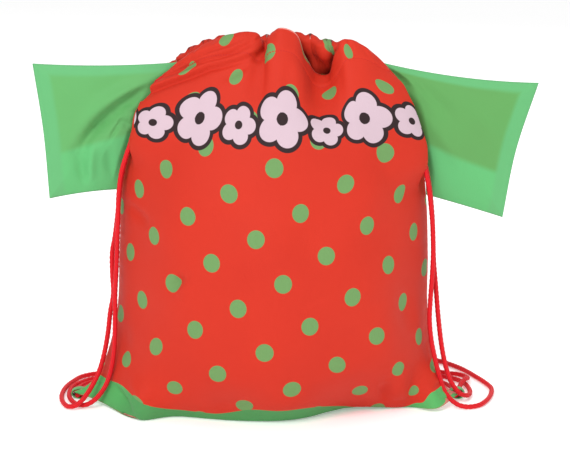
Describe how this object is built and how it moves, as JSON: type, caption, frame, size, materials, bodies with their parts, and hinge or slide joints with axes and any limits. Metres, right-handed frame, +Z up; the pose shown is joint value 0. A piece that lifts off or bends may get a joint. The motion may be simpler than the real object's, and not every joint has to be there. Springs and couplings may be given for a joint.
{
  "type": "drawstring bag",
  "caption": "T-shirt-shaped drawstring bag, filled out and standing, with a gathered mouth, cords that double as shoulder straps, and a flat sleeve on each side.",
  "frame": {"origin": "on the floor under the middle of the bag and its sleeves, cords left out", "axes": "+X across the bag from its left sleeve to its right as seen from the front, +Y from front to back, +Z up"},
  "size_m": [0.446, 0.2358, 0.3391],
  "materials": {
    "printed_cloth": "thin woven polyester printed on its outer face: red with green dots, a green band round the base and a pale flower motif across the chest",
    "green_cloth": "thin woven polyester, green",
    "cord": "braided polyester cord, crimson",
    "stiffener": "light non-woven stiffening sheet"
  },
  "bodies": {
    "bag": {"front_panel": "printed_cloth", "back_panel": "printed_cloth", "left_cord_back_strand": "cord", "left_cord_front_strand": "cord", "right_cord_front_strand": "cord", "right_cord_back_strand": "cord", "left_cord_bridge": "cord", "right_cord_bridge": "cord", "left_cord_knot": "cord", "right_cord_knot": "cord", "left_corner_loop": "green_cloth", "right_corner_loop": "green_cloth"},
    "front_mouth_lip": {"front_lip": "printed_cloth", "front_cord_tunnel": "printed_cloth", "left_cord_in_front_tunnel": "cord", "right_cord_in_front_tunnel": "cord"},
    "back_mouth_lip": {"back_lip": "printed_cloth", "back_cord_tunnel": "printed_cloth", "left_cord_in_back_tunnel": "cord", "right_cord_in_back_tunnel": "cord"},
    "left_sleeve": {"left_sleeve_front": "green_cloth", "left_sleeve_back": "green_cloth", "left_sleeve_stiffener": "stiffener"},
    "right_sleeve": {"right_sleeve_front": "green_cloth", "right_sleeve_back": "green_cloth", "right_sleeve_stiffener": "stiffener"}
  },
  "joints": [
    {"name": "front_lip_opens", "type": "hinge", "parent": "bag", "child": "front_mouth_lip", "pos_m": [-0.009, 0.009, 0.275], "axis": [1, 0, 0], "range_deg": [0, 14], "deforming": ["left_cord_front_strand", "right_cord_front_strand", "left_cord_bridge", "right_cord_bridge"]},
    {"name": "back_lip_opens", "type": "hinge", "parent": "bag", "child": "back_mouth_lip", "pos_m": [-0.009, 0.009, 0.275], "axis": [-1, 0, 0], "range_deg": [0, 14], "deforming": ["left_cord_back_strand", "right_cord_back_strand"]},
    {"name": "left_sleeve_swings", "type": "hinge", "parent": "bag", "child": "left_sleeve", "pos_m": [-0.1515, 0.009, 0.24], "axis": [0, 0, -1], "range_deg": [-40, 75]},
    {"name": "right_sleeve_swings", "type": "hinge", "parent": "bag", "child": "right_sleeve", "pos_m": [0.133, 0.009, 0.24], "axis": [0, 0, 1], "range_deg": [-40, 75]}
  ]
}
